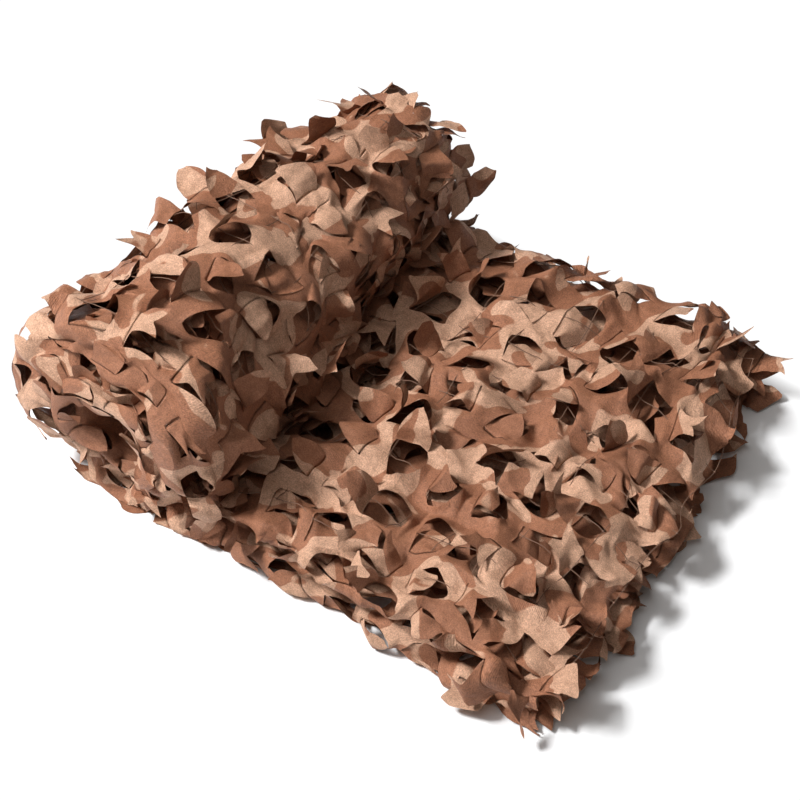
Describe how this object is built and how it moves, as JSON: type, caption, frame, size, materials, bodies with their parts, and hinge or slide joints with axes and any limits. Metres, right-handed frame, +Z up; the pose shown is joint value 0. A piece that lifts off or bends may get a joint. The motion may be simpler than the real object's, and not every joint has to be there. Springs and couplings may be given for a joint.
{
  "type": "camouflage net",
  "caption": "Leaf-cut camouflage net, folded in layers to a strip that lies flat at one end and is wound into a roll at the other.",
  "frame": {"origin": "middle of the bounding box in X and Y, on the surface that the net rests on", "axes": "+X along the folded strip from the roll to its free end, +Y across it along the roll's axis, +Z up"},
  "size_m": [0.7214, 0.5504, 0.2705],
  "materials": {
    "printed_cloth": "satin"
  },
  "bodies": {
    "root": {"camouflage_net": "printed_cloth"}
  },
  "joints": []
}
